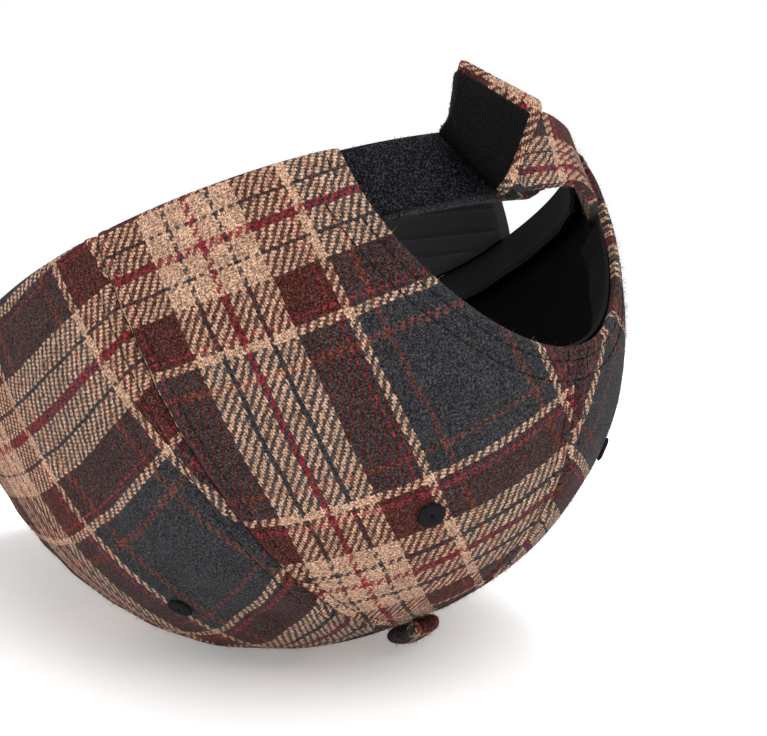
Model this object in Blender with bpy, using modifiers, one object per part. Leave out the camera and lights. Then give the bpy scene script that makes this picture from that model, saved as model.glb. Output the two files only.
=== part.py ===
"""A six-panel wool cap with a peak, lying upside down on its crown, with its back strap peeled open.

Metres. The shape is worked out in the cap's own frame: the origin is the centre of the rim, +Z points to the
button, +Y to the peak and +X to the wearer's right. A turn is an angle round the rim from its back centre, and a
climb runs from 0 at the rim to 1 at the top. One empty turns the cap over and tips it onto its crown, and the
cloth is flattened where it meets the surface.
"""

import math

import bmesh
import bpy
from mathutils import Matrix, Vector

# Crown: the rim is an oval, and a section from the rim to the top is a rounded superellipse
HALF_WIDTH = 0.0829
HALF_LENGTH = 0.0993
CROWN_HEIGHT = 0.1004
ROUNDNESS = 2.31
TOP_BACK_LEAN = 0.0088
RIM_BACK_RISE = 0.0079
RIM_WAVE = 0.0021
RIM_SIDE_DIP = 0.006
PANEL_WALL = 0.0018
LAYER_GAP = 0.0004
SEAM_GAP = 0.0005
PANEL_PAIRS = 3
TOP_HOLE_RADIUS = 0.0045

# Half-moon opening, measured along the rim and up the back
OPENING_HALF_WIDTH = 0.0424
OPENING_HEIGHT = 0.0533

# Inside
LINING_GAP = 0.0009
LINING_THICKNESS = 0.0008
LINING_START = 0.009
BAND_WIDTH = 0.0125
BAND_THICKNESS = 0.0012
BAND_LEAN = 0.004
BAND_CLEARANCE = 0.0125
TAPE_START = 0.0205
TAPE_WIDTH = 0.012
TAPE_THICKNESS = 0.0008
TAPE_LEAN = 0.005

# Peak
PEAK_LENGTH = 0.068
PEAK_SWEEP_LEFT = math.radians(105.5)
PEAK_SWEEP_RIGHT = math.radians(93)
PEAK_GAP = 0.0007
PEAK_THICKNESS = 0.0032
UNDERSIDE_THICKNESS = 0.0009
UNDERSIDE_INSET = 0.0012

# Straps
STRAP_WIDTH = 0.017
LOOP_STRAP_THICKNESS = 0.0015
LOOP_PAD_THICKNESS = 0.0012
LOOP_PAD_INSET = 0.0012
STRAP_ROOT = 0.0085
STRAP_REACH_PAST_CENTRE = 0.0075
HOOK_STRAP_THICKNESS = 0.002
HOOK_PAD_THICKNESS = 0.001
HOOK_BORDER = 0.0027

# Button and eyelets
BUTTON_RADIUS = 0.0073
BUTTON_HEIGHT = 0.0052
BUTTON_SHANK_RADIUS = 0.0035
BUTTON_SHANK_LENGTH = 0.0014
BUTTON_STEPS = 20
EYELET_RADIUS = 0.0029
EYELET_CORD_RADIUS = 0.0011
EYELET_FLATNESS = 0.6
EYELET_HEIGHT = 0.0775
EYELET_GAP = 0.0003

# How it lies
TIP_FORWARD = math.radians(26)
LEAN_LEFT = math.radians(4.65)
PRESSED = 0.0036
PRESS_BLEND = 0.001

# Soft dents and creases of the crown: turn, half turn, climb, half climb, and depth as a share of the crown height
DENTS = (
    ("back left flat", -38, 24, 0.52, 0.34, 0.020),
    ("right side crease", 82, 5, 0.42, 0.30, 0.012),
    ("right side tuck", 79, 8, 0.66, 0.05, 0.016),
    ("front right hollow", 150, 16, 0.45, 0.25, 0.018),
    ("left side crease", -96, 7, 0.45, 0.28, 0.014),
    ("front left hollow", -146, 14, 0.38, 0.22, 0.020),
)

# Outer edge of the peak: share of the half sweep from the front, then reach and drop as shares of the peak length
PEAK_EDGE = (
    (0.00, 1.00, 0.22),
    (0.15, 0.96, 0.27),
    (0.31, 0.81, 0.42),
    (0.46, 0.56, 0.54),
    (0.61, 0.33, 0.56),
    (0.77, 0.14, 0.44),
    (0.92, 0.06, 0.30),
    (1.00, 0.04, 0.20),
)

# Fold lines of the hook strap, from its sewn root to its free end. Each has an edge that starts nearer the top and
# one that starts at the rim: turn in degrees, then stand-off and rise as shares of the strap width
HOOK_FOLDS = (
    (-34.5, -0.26, 1.00, -34.5, -0.26, 0.00),
    (-27.0, -0.26, 1.00, -27.0, -0.22, -0.01),
    (-15.0, -0.06, 0.96, -18.0, -0.08, -0.06),
    (-5.5, 0.07, 0.90, -9.0, 0.02, -0.11),
    (0.9, 0.05, 0.94, -1.5, 0.05, -0.09),
    (5.5, 0.03, 0.94, 6.0, 0.03, -0.02),
    (7.3, 0.04, 0.92, 12.0, 0.00, 0.03),
    (8.8, 0.10, 0.95, 13.9, 0.06, 0.04),
    (9.4, 0.24, 0.98, 14.3, 0.20, 0.06),
    (6.3, 0.50, 0.56, 12.6, 0.32, -0.26),
    (3.9, 0.68, 0.21, 10.9, 0.38, -0.61),
)
HOOK_TAB_START = 8

PLAID = ((0.20, 0.10, 0.09), 0.95)
BLACK_TWILL = ((0.012, 0.012, 0.014), 0.85)
BLACK_PILE = ((0.006, 0.006, 0.008), 1.0)
BLACK_THREAD = ((0.01, 0.01, 0.01), 0.6)


def turned_over():
    """The rotation that lays the cap on its crown."""
    over = Matrix.Rotation(math.pi, 3, "Y")
    tipped = Matrix.Rotation(-TIP_FORWARD, 3, "X")
    leaned = Matrix.Rotation(-LEAN_LEFT, 3, "Y")
    return leaned @ tipped @ over


def mix(low, high, share):
    return low + (high - low) * share


def read_table(rows, share, column):
    """A smooth curve through the column's values, against the first column."""
    last = len(rows) - 1
    step = 0
    while step < last - 1 and rows[step + 1][0] < share:
        step += 1
    before = rows[max(step - 1, 0)]
    start = rows[step]
    end = rows[step + 1]
    after = rows[min(step + 2, last)]
    span = end[0] - start[0]
    t = min(max((share - start[0]) / span, 0), 1)
    slope_start = (end[column] - before[column]) / (end[0] - before[0]) * span
    slope_end = (after[column] - start[column]) / (after[0] - start[0]) * span
    return (
        (2 * t**3 - 3 * t**2 + 1) * start[column]
        + (t**3 - 2 * t**2 + t) * slope_start
        + (3 * t**2 - 2 * t**3) * end[column]
        + (t**3 - t**2) * slope_end
    )


def rim_height(turn):
    side = max(0.0, (abs(turn) - math.radians(80)) / math.radians(100))
    dip = RIM_SIDE_DIP * math.sin(math.pi * side) ** 2
    return RIM_BACK_RISE * (1 + math.cos(turn)) / 2 + RIM_WAVE * math.cos(2 * turn) - dip


def rim_speed(turn):
    """Length along the rim for each radian of turn."""
    return math.hypot(HALF_WIDTH * math.cos(turn), HALF_LENGTH * math.sin(turn))


def turn_at(length):
    """The turn that lies this far round the rim from the back centre."""
    steps = 400
    turn = 0.0
    for _ in range(steps):
        turn += length / steps / rim_speed(turn)
    return turn


def half_rim():
    steps = 400
    return sum(rim_speed(math.pi * (i + 0.5) / steps) for i in range(steps)) * math.pi / steps


def climb_at(height):
    """The climb at this height above the rim, along the crown's axis."""
    share = min(max(height / CROWN_HEIGHT, 0), 1)
    return math.asin(share ** (ROUNDNESS / 2)) * 2 / math.pi


def ring_share(climb):
    """How wide the crown is at this climb, as a share of the rim."""
    return max(math.cos(climb * math.pi / 2), 0) ** (2 / ROUNDNESS)


def climb_at_ring(radius):
    return math.acos((radius / HALF_WIDTH) ** (ROUNDNESS / 2)) * 2 / math.pi


def plain_crown(turn, climb):
    """A point of the crown's outer face before its dents and before it is laid down."""
    ring = ring_share(climb)
    rise = math.sin(climb * math.pi / 2) ** (2 / ROUNDNESS)
    return Vector(
        (
            HALF_WIDTH * math.sin(turn) * ring,
            -HALF_LENGTH * math.cos(turn) * ring - TOP_BACK_LEAN * rise**2,
            CROWN_HEIGHT * rise + (1 - rise) * rim_height(turn),
        )
    )


def normal_of(surface, u, v):
    """The outward direction of a surface at (u, v), from points close by."""
    step = 0.004
    along = surface(u + step, v) - surface(u - step, v)
    low = max(v - step, 0)
    high = min(v + step, 1)
    across = surface(u, high) - surface(u, low)
    direction = along.cross(across)
    return direction.normalized() if direction.length > 1e-12 else Vector((0, 0, 1))


UP = turned_over().transposed() @ Vector((0, 0, 1))
LOWEST = min(
    plain_crown(math.radians(turn), climb / 60).dot(UP) for turn in range(-180, 180, 3) for climb in range(61)
)
FLOOR = LOWEST + PRESSED
OPENING_TURN = turn_at(OPENING_HALF_WIDTH)
TOP_CLIMB = climb_at_ring(TOP_HOLE_RADIUS)


def dent_depth(turn, climb):
    """How deep the dents are here. They fade out at the top, where every turn meets."""
    depth = 0.0
    for _, middle, half_turn, height, half_climb, share in DENTS:
        away = (math.degrees(turn) - middle + 180) % 360 - 180
        nearness = math.exp(-((away / half_turn) ** 2) - ((climb - height) / half_climb) ** 2)
        depth += CROWN_HEIGHT * share * nearness
    return depth * (1 - climb**8)


def settled(point):
    """The point, lifted to the floor where it would be under it, with a soft bend at the edge of the patch."""
    height = point.dot(UP) - FLOOR
    if height >= PRESS_BLEND:
        return point
    lifted = 0.0 if height <= -PRESS_BLEND else (height + PRESS_BLEND) ** 2 / (4 * PRESS_BLEND)
    return point + UP * (lifted - height)


def crown(turn, climb):
    """A point of the crown's outer face as it lies."""
    inward = normal_of(plain_crown, turn, climb) * -dent_depth(turn, climb)
    return settled(plain_crown(turn, climb) + inward)


def under_crown(turn, climb, depth):
    """A point this deep under the crown's outer face."""
    return crown(turn, climb) - normal_of(crown, turn, climb) * depth


def opening_height(turn, margin=0.0):
    """Height above the rim of the half-moon's edge, or of a curve this far outside it, at this turn."""
    half_turn = OPENING_TURN + margin / HALF_WIDTH
    if abs(turn) >= half_turn:
        return 0.0
    return (OPENING_HEIGHT + margin) * math.sqrt(1 - (turn / half_turn) ** 2)


def material(name, colour, roughness):
    made = bpy.data.materials.new(name)
    made.use_nodes = True
    shader = made.node_tree.nodes["Principled BSDF"]
    shader.inputs["Base Color"].default_value = (*colour, 1)
    shader.inputs["Roughness"].default_value = roughness
    shader.inputs["Metallic"].default_value = 0
    return made


def adopt(piece, finish):
    """Names the piece's material and hangs it from the cap's frame."""
    piece.data.materials.clear()
    piece.data.materials.append(material(piece.name, *finish))
    for collection in list(piece.users_collection):
        collection.objects.unlink(piece)
    bpy.data.collections["wool_cap"].objects.link(piece)
    piece.parent = bpy.data.objects["cap_frame"]
    return piece


def sheet(name, columns, rows, place, thickness, finish, side=-1, closed=False):
    """A grid whose points are put where place(u, v) says, given its thickness by a Solidify modifier."""
    mesh = bpy.data.meshes.new(name)
    grid = bmesh.new()
    bmesh.ops.create_grid(grid, x_segments=columns, y_segments=rows, size=0.5)
    for vertex in grid.verts:
        vertex.co = place(vertex.co.x + 0.5, vertex.co.y + 0.5)
    if closed:
        bmesh.ops.remove_doubles(grid, verts=grid.verts, dist=1e-6)
    grid.normal_update()
    grid.to_mesh(mesh)
    grid.free()
    piece = adopt(bpy.data.objects.new(name, mesh), finish)
    wall = piece.modifiers.new("wall", "SOLIDIFY")
    wall.thickness = thickness
    wall.offset = side
    mesh.shade_smooth()
    return piece


def clear_of_seam(turn, climb, inwards):
    """The turn, moved off a seam by half the seam's gap."""
    return turn + inwards * SEAM_GAP / 2 / (rim_speed(turn) * ring_share(climb))


def make_panel(name, start, end, hand):
    """One panel between two seams. hand is 1 on the wearer's right and -1 on the left."""
    has_opening = start == 0

    def place(u, v):
        across = u if hand > 0 else 1 - u
        if has_opening:
            # Closer columns towards the foot of the half-moon, where its edge stands up.
            split = 0.58
            if across < split:
                low = OPENING_TURN * math.sin(across / split * math.pi / 2)
            else:
                low = mix(OPENING_TURN, end, (across - split) / (1 - split))
        else:
            low = mix(start, end, across)
        turn = mix(low, mix(start, end, across), v)
        climb = mix(climb_at(opening_height(low)), TOP_CLIMB, v)
        if across in (0, 1):
            turn = clear_of_seam(turn, climb, 1 if across == 0 else -1)
        return crown(hand * turn, climb)

    sheet(name, 14 if has_opening else 9, 13, place, PANEL_WALL, PLAID)


def make_crown():
    seams = [turn_at(half_rim() * i / PANEL_PAIRS) for i in range(PANEL_PAIRS)] + [math.pi]
    for hand, side in ((1, "right"), (-1, "left")):
        for i, part in enumerate(("back", "side", "front")):
            make_panel(f"crown_{part}_{side}", seams[i], seams[i + 1], hand)


def make_lining():
    depth = PANEL_WALL + LINING_GAP
    margin = TAPE_WIDTH + LAYER_GAP
    beside_tape = OPENING_TURN + margin / HALF_WIDTH
    split = 8 / 26

    def place(u, v):
        # Closer columns beside the half-moon, where the lower edge stands up.
        across = abs(2 * u - 1)
        if across < split:
            turn = beside_tape * math.sin(across / split * math.pi / 2)
        else:
            turn = mix(beside_tape, math.pi, (across - split) / (1 - split))
        low = climb_at(max(LINING_START, opening_height(turn, margin)))
        return under_crown(math.copysign(turn, u - 0.5), mix(low, 1, v), depth)

    sheet("lining", 52, 13, place, LINING_THICKNESS, BLACK_TWILL, closed=True)


def make_sweatband():
    start = turn_at(OPENING_HALF_WIDTH + BAND_CLEARANCE)

    def place(u, v):
        turn = mix(start, 2 * math.pi - start, u)
        turn = turn if turn <= math.pi else turn - 2 * math.pi
        depth = PANEL_WALL + LAYER_GAP + BAND_LEAN * v
        return under_crown(turn, climb_at(LAYER_GAP + BAND_WIDTH * v), depth)

    sheet("sweatband", 48, 3, place, BAND_THICKNESS, BLACK_TWILL)


def make_opening_tape():
    """The tape that follows the half-moon's edge on the inside, from one end of the lining to the other."""
    depth = PANEL_WALL + LAYER_GAP
    first = math.asin(TAPE_START / OPENING_HEIGHT)

    def place(u, v):
        angle = mix(first, math.pi - first, u)
        turn = -(OPENING_TURN + v * TAPE_WIDTH / HALF_WIDTH) * math.cos(angle)
        height = (OPENING_HEIGHT + LAYER_GAP + v * TAPE_WIDTH) * math.sin(angle)
        return under_crown(turn, climb_at(height), depth + TAPE_LEAN * v)

    sheet("opening_tape", 20, 2, place, TAPE_THICKNESS, BLACK_TWILL)


def peak_face(u, v):
    """A point of the peak's upper face: u goes round from the wearer's left to the right, v from the rim outwards."""
    share = abs(2 * u - 1)
    turn = math.pi + (1 - 2 * u) * (PEAK_SWEEP_LEFT if u < 0.5 else PEAK_SWEEP_RIGHT)
    outward = Vector((HALF_LENGTH * math.sin(turn), -HALF_WIDTH * math.cos(turn), 0)).normalized()
    rim = Vector((HALF_WIDTH * math.sin(turn), -HALF_LENGTH * math.cos(turn), 0))
    reach = PEAK_LENGTH * read_table(PEAK_EDGE, share, 1)
    drop = PEAK_LENGTH * read_table(PEAK_EDGE, share, 2)
    level = rim_height(math.pi - abs(turn - math.pi)) - PEAK_GAP
    return rim + outward * (reach * v) + Vector((0, 0, level - drop * mix(v, v * v, 0.35)))


def under_peak(u, v, depth):
    return peak_face(u, v) - normal_of(peak_face, u, v) * depth


def make_peak():
    sheet("peak", 26, 6, peak_face, PEAK_THICKNESS, PLAID)
    depth = PEAK_THICKNESS + PEAK_GAP

    side = UNDERSIDE_INSET / (HALF_LENGTH * (PEAK_SWEEP_LEFT + PEAK_SWEEP_RIGHT))
    front = UNDERSIDE_INSET / PEAK_LENGTH

    def place(u, v):
        return under_peak(mix(side, 1 - side, u), mix(0.01, 1 - front, v), depth)

    sheet("peak_underside", 26, 6, place, UNDERSIDE_THICKNESS, BLACK_TWILL)


def make_loop_strap():
    start = turn_at(OPENING_HALF_WIDTH + STRAP_ROOT)
    end = -turn_at(STRAP_REACH_PAST_CENTRE)
    pad_depth = PANEL_WALL + LAYER_GAP
    strap_depth = pad_depth + LOOP_PAD_THICKNESS + LAYER_GAP
    inset = LOOP_PAD_INSET / STRAP_WIDTH

    def strap(u, v):
        turn = mix(end, start, u)
        # The free end is round.
        from_end = (turn - end) * HALF_WIDTH / (STRAP_WIDTH / 2)
        half = 1 if from_end >= 1 else math.sqrt(max(1 - (1 - from_end) ** 2, 0.02))
        middle = 0.5 + (v - 0.5) * half
        return under_crown(turn, climb_at(STRAP_WIDTH * middle + LAYER_GAP), strap_depth)

    def pad(u, v):
        turn = mix(end + 3 * LOOP_PAD_INSET / HALF_WIDTH, start, u)
        return under_crown(turn, climb_at(STRAP_WIDTH * mix(inset / 2, 1 - inset, v) + LAYER_GAP), pad_depth)

    sheet("loop_strap", 16, 3, strap, LOOP_STRAP_THICKNESS, PLAID)
    sheet("loop_pad", 14, 3, pad, LOOP_PAD_THICKNESS, BLACK_PILE)


def beside_rim(turn, out, rise):
    """A point that stands off the rim by a distance and rises from it towards the top."""
    outward = Vector((HALF_LENGTH * math.sin(turn), -HALF_WIDTH * math.cos(turn), 0)).normalized()
    rim = Vector((HALF_WIDTH * math.sin(turn), -HALF_LENGTH * math.cos(turn), rim_height(turn)))
    return rim + outward * out + Vector((0, 0, rise))


def hook_strap_face(u, v):
    """The middle of the hook strap: u runs along its fold lines and v across it."""
    rows = [(i / (len(HOOK_FOLDS) - 1), *row) for i, row in enumerate(HOOK_FOLDS)]
    u = min(max(u, 0), 1)
    edges = []
    for first in (1, 4):
        turn = math.radians(read_table(rows, u, first))
        out = STRAP_WIDTH * read_table(rows, u, first + 1)
        rise = STRAP_WIDTH * read_table(rows, u, first + 2)
        edges.append(beside_rim(turn, out, rise))
    return edges[0].lerp(edges[1], v)


def make_hook_strap():
    sheet("hook_strap", 30, 4, hook_strap_face, HOOK_STRAP_THICKNESS, PLAID, side=0)
    first = HOOK_TAB_START / (len(HOOK_FOLDS) - 1)
    tab_length = STRAP_WIDTH * 1.1
    last = 1 - (1 - first) * HOOK_BORDER / tab_length
    depth = HOOK_STRAP_THICKNESS / 2 + LAYER_GAP + HOOK_PAD_THICKNESS

    def place(u, v):
        along = mix(first, last, u)
        across = mix(HOOK_BORDER / STRAP_WIDTH, 0.98, v)
        return hook_strap_face(along, across) + normal_of(hook_strap_face, along, across) * depth

    sheet("hook_pad", 6, 5, place, HOOK_PAD_THICKNESS, BLACK_PILE)


def make_button():
    """A covered button, turned from its profile: a dome, a rounded edge and a short shank in the top hole."""
    base = crown(0, 1).z + SEAM_GAP
    edge = BUTTON_HEIGHT * 0.42
    profile = [(0, BUTTON_HEIGHT)]
    for i in range(1, 7):
        angle = math.pi / 2 * i / 6
        profile.append((BUTTON_RADIUS * math.sin(angle), edge + (BUTTON_HEIGHT - edge) * math.cos(angle)))
    profile += [
        (BUTTON_RADIUS * 0.96, edge * 0.4),
        (BUTTON_RADIUS * 0.84, 0),
        (BUTTON_SHANK_RADIUS, 0),
        (BUTTON_SHANK_RADIUS, -BUTTON_SHANK_LENGTH),
        (0, -BUTTON_SHANK_LENGTH),
    ]
    mesh = bpy.data.meshes.new("button")
    line = bmesh.new()
    points = [line.verts.new((x, 0, z)) for x, z in profile]
    for first, second in zip(points, points[1:]):
        line.edges.new((first, second))
    line.to_mesh(mesh)
    line.free()
    piece = adopt(bpy.data.objects.new("button", mesh), PLAID)
    piece.location = (0, crown(0, 1).y, base)
    screw = piece.modifiers.new("turned", "SCREW")
    screw.axis = "Z"
    screw.steps = BUTTON_STEPS
    screw.render_steps = BUTTON_STEPS
    screw.use_merge_vertices = True
    screw.merge_threshold = 1e-5
    screw.use_smooth_shade = True


def make_eyelets():
    """A stitched ring on the middle of each panel."""
    climb = climb_at(EYELET_HEIGHT)
    number = 0
    for hand in (1, -1):
        for i in range(PANEL_PAIRS):
            number += 1
            turn = hand * turn_at(half_rim() * (i + 0.5) / PANEL_PAIRS)
            bpy.ops.mesh.primitive_torus_add(
                major_segments=14,
                minor_segments=6,
                major_radius=EYELET_RADIUS,
                minor_radius=EYELET_CORD_RADIUS,
            )
            piece = bpy.context.object
            piece.name = f"eyelet_{number}"
            piece.data.transform(Matrix.Diagonal((1, 1, EYELET_FLATNESS, 1)))
            piece.data.shade_smooth()
            adopt(piece, BLACK_THREAD)
            outward = normal_of(crown, turn, climb)
            height = EYELET_CORD_RADIUS * EYELET_FLATNESS + EYELET_GAP
            piece.location = crown(turn, climb) + outward * height
            piece.rotation_euler = outward.to_track_quat("Z", "Y").to_euler()


def start_scene():
    for old in list(bpy.data.objects):
        bpy.data.objects.remove(old)
    bpy.context.scene.collection.children.link(bpy.data.collections.new("wool_cap"))
    frame = bpy.data.objects.new("cap_frame", None)
    bpy.data.collections["wool_cap"].objects.link(frame)
    frame.rotation_euler = turned_over().to_euler()
    frame.location = (0, 0, -FLOOR)
    return frame


def centre_over_origin(frame):
    """Moves the frame so that the middle of the whole cap's box is over the origin."""
    bpy.context.view_layer.update()
    graph = bpy.context.evaluated_depsgraph_get()
    corners = []
    for piece in frame.children:
        shown = piece.evaluated_get(graph)
        mesh = shown.to_mesh()
        corners += [shown.matrix_world @ vertex.co for vertex in mesh.vertices]
        shown.to_mesh_clear()
    for axis in (0, 1):
        values = [corner[axis] for corner in corners]
        frame.location[axis] -= (min(values) + max(values)) / 2


def main():
    frame = start_scene()
    make_crown()
    make_lining()
    make_sweatband()
    make_opening_tape()
    make_peak()
    make_loop_strap()
    make_hook_strap()
    make_button()
    make_eyelets()
    centre_over_origin(frame)


main()
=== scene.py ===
"""A plaid wool cap lying on its crown, with its lining, peak, straps, button, stitches and nap."""

import functools
import math

import bpy
import numpy as np
from mathutils import Matrix, Quaternion, Vector


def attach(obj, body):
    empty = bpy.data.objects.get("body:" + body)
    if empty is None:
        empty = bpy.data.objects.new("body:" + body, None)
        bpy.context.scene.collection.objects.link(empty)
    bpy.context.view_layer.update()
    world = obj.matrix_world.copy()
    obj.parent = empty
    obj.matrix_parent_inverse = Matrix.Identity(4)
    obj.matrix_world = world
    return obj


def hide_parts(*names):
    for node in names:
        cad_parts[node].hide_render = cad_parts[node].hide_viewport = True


bl_info = {
    "name": "Wool Cap",
    "version": (1, 0, 0),
    "blender": (4, 5, 0),
    "location": "View3D > Sidebar > Wool Cap",
    "description": "Dresses a six-panel wool cap with plaid cloth, black trims, stitches and nap",
    "category": "Object",
}

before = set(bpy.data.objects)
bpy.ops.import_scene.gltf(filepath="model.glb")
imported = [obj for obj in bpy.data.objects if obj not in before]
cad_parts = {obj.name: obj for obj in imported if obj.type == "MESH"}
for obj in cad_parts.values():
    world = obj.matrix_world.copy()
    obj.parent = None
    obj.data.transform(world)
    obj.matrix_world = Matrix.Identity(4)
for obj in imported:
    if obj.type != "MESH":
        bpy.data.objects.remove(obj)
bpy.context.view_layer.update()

MM = 0.001
TAU = 2 * math.pi

# The crown and its trims have the sizes of the solids that they replace
HALF_WIDTH = 0.0829
HALF_LENGTH = 0.0993
CROWN_HEIGHT = 0.1004
ROUNDNESS = 2.31
TOP_BACK_LEAN = 0.0088
RIM_BACK_RISE = 0.0079
RIM_WAVE = 0.0021
RIM_SIDE_DIP = 0.006
RIM_DIP_START = math.radians(80)
PANEL_WALL = 0.0018
LAYER_GAP = 0.0004
SEAM_GAP = 0.0002
TOP_HOLE_RADIUS = 0.0045
OPENING_HALF_WIDTH = 0.0424
OPENING_HEIGHT = 0.0533
LINING_GAP = 0.0009
LINING_THICKNESS = 0.0008
LINING_START = 0.009
BAND_WIDTH = 0.0125
BAND_THICKNESS = 0.0012
BAND_LEAN = 0.004
BAND_CLEARANCE = 0.0125
TAPE_START = 0.0205
TAPE_WIDTH = 0.012
TAPE_THICKNESS = 0.0008
TAPE_LEAN = 0.005
PEAK_LENGTH = 0.068
PEAK_SWEEP_LEFT = math.radians(105.5)
PEAK_SWEEP_RIGHT = math.radians(93)
PEAK_GAP = 0.0007
PEAK_THICKNESS = 0.0032
PEAK_DROP_CURVE = 0.35
UNDERSIDE_THICKNESS = 0.0009
STRAP_WIDTH = 0.017
LOOP_STRAP_THICKNESS = 0.0015
LOOP_PAD_THICKNESS = 0.0012
LOOP_PAD_INSET = 0.0012
STRAP_ROOT = 0.0085
STRAP_REACH_PAST_CENTRE = 0.0075
HOOK_STRAP_THICKNESS = 0.002
HOOK_PAD_THICKNESS = 0.001
HOOK_BORDER = 0.0027
BUTTON_RADIUS = 0.0073
BUTTON_HEIGHT = 0.0052
BUTTON_EDGE = BUTTON_HEIGHT * 0.42
BUTTON_LIFT = 0.45 * MM
BUTTON_CLOTH = np.array((0.0165, 0.027))
EYELET_HEIGHT = 0.0775
EYELET_RADIUS = 1.6 * MM
EYELET_CORD_RADIUS = 1.35 * MM
EYELET_THREADS = 24
EYELET_THREAD_RELIEF = 0.15 * MM
EYELET_FLATNESS = 0.42
EYELET_STAND_OUT = 0.35 * MM
TIP_FORWARD = math.radians(26)
LEAN_LEFT = math.radians(4.65)
PRESSED = 0.0036
PRESS_BLEND = 0.001
FRAME_X = -0.002309
FRAME_Y = -0.024842

# How far the cloth of the lining, tape, peak and pads runs, near enough for its weave
LINING_RISE = 0.14
TAPE_RUN = 0.16
PEAK_RUN = 0.34
LOOP_PAD_RUN = 0.055
HOOK_PAD_RUN = 0.018
HOOK_PAD_WIDTH = 0.016

# Turn, half turn, climb, half climb, and depth as a share of the crown height
DENTS = (
    (-38, 24, 0.52, 0.34, 0.020),
    (82, 5, 0.42, 0.30, 0.012),
    (79, 8, 0.66, 0.05, 0.016),
    (150, 16, 0.45, 0.25, 0.018),
    (-96, 7, 0.45, 0.28, 0.014),
    (-146, 14, 0.38, 0.22, 0.020),
)

# Share of the half sweep from the front, then reach and drop as shares of the peak length
PEAK_EDGE = (
    (0.00, 1.00, 0.22),
    (0.15, 0.96, 0.27),
    (0.31, 0.81, 0.42),
    (0.46, 0.56, 0.54),
    (0.61, 0.33, 0.56),
    (0.77, 0.14, 0.44),
    (0.92, 0.06, 0.30),
    (1.00, 0.04, 0.20),
)

# Fold lines of the hook strap, as two ends each: turn, then stand-off and rise as shares of the strap width
HOOK_FOLDS = (
    (-34.5, -0.26, 1.00, -34.5, -0.26, 0.00),
    (-27.0, -0.26, 1.00, -27.0, -0.22, -0.01),
    (-15.0, -0.06, 0.96, -18.0, -0.08, -0.06),
    (-5.5, 0.07, 0.90, -9.0, 0.02, -0.11),
    (0.9, 0.05, 0.94, -1.5, 0.05, -0.09),
    (5.5, 0.03, 0.94, 6.0, 0.03, -0.02),
    (7.3, 0.04, 0.92, 12.0, 0.00, 0.03),
    (8.8, 0.10, 0.95, 13.9, 0.06, 0.04),
    (9.4, 0.24, 0.98, 14.3, 0.20, 0.06),
    (6.3, 0.50, 0.56, 12.6, 0.32, -0.26),
    (3.9, 0.68, 0.21, 10.9, 0.38, -0.61),
)

# Shares of the hook strap's length where it comes into sight, where its pad lies and where its end rounds off
STRAP_SHOWS_FROM = 0.06
PAD_SPAN = (0.69, 0.945)
ROUND_END = 0.965
ROUND_END_NARROWING = 0.13

# Ridges and furrows of the sewn cloth: height, distance from the line and half width, in mm
SEAM_RELIEF = ((-0.75, 0.0, 0.8), (0.3, 2.0, 1.2), (-0.28, 3.4, 0.55))
HEM_RELIEF = ((0.25, 1.6, 1.4), (-0.7, 0.0, 0.6), (-0.3, 3.0, 0.5), (-0.3, 7.2, 0.6))
RIM_RELIEF = ((-0.8, 0.0, 0.7),)
SEAM_STITCH_ASIDE = 3.4 * MM
HEM_STITCHES = (3.0 * MM, 7.2 * MM)
PEAK_ROW_START = 3.0 * MM
PEAK_ROW_SPACING = 8.3 * MM
PEAK_ROW_DEPTH = 0.3 * MM
PEAK_ROWS = 8
SEAM_STITCH_PITCH = 2.9 * MM
HEM_STITCH_PITCH = 2.7 * MM
PEAK_STITCH_PITCH = 3.0 * MM
SEAM_STITCHES_END = 0.955

# How the plaid lies on each panel: warp and weft places in mm, as sums over 1, x, y, xx, xy, yy, xxy and
# xyy, where x and y are the distances round and up from the panel's foot in units of 50 mm
CLOTH_LAY = {
    "back_right": (
        (-28.2, 56.8, 4.2, -6.4, -7.9, 1.6, 5.0, 1.3),
        (-9.5, -3.4, 49.1, 2.2, 0.1, -1.9, 0.0, 0.0),
    ),
    "side_right": (
        (61.0, 56.8, -1.7, 1.5, -9.8, -2.2, 0.0, 0.0),
        (-22.8, 0.9, 37.4, 5.4, -1.7, 1.8, 0.0, 0.0),
    ),
    "front_right": ((10.0, 50.0, -4.0), (4.0, 3.0, 50.0)),
    "front_left": ((-22.0, 50.0, 3.0), (4.0, -3.0, 50.0)),
    "side_left": ((30.0, 50.0, -3.0), (20.0, 3.0, 50.0)),
    "back_left": ((37.6, -35.5, 5.8), (50.0, 8.8, 45.8)),
}
LAY_UNIT = 50 * MM

# The sett, from the middle of the broad band to the middle of the dark block: where each stripe ends, in mm
SETT = (
    (0.8, "red"),
    (4.6, "beige"),
    (5.5, "grey"),
    (10.1, "beige"),
    (17.9, "brown"),
    (18.7, "red"),
    (19.8, "brown"),
    (21.7, "beige"),
    (25.5, "grey"),
    (27.0, "rust"),
    (37.5, "grey"),
)
HALF_SETT = SETT[-1][0]

# Loose fibres on each wool piece
NAP_COUNTS = {
    "panel_back_right": 9000,
    "panel_side_right": 7500,
    "panel_front_right": 4500,
    "panel_back_left": 5500,
    "panel_side_left": 4500,
    "panel_front_left": 4500,
    "peak_cover": 5000,
    "hook_strap_cloth": 2200,
    "loop_strap_cloth": 900,
    "button_cover": 900,
}
NAP_WIDTH = 0.045 * MM
PILE_WIDTH = 0.09 * MM
FIBRE_ROOT_DEPTH = 0.15 * MM

# The cap's own frame, upside down on the floor


def cap_turn():
    """The turn that lays the cap's own frame on the floor."""
    over = Matrix.Rotation(math.pi, 3, "Y")
    tipped = Matrix.Rotation(-TIP_FORWARD, 3, "X")
    leaned = Matrix.Rotation(-LEAN_LEFT, 3, "Y")
    return np.array(leaned @ tipped @ over)


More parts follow.
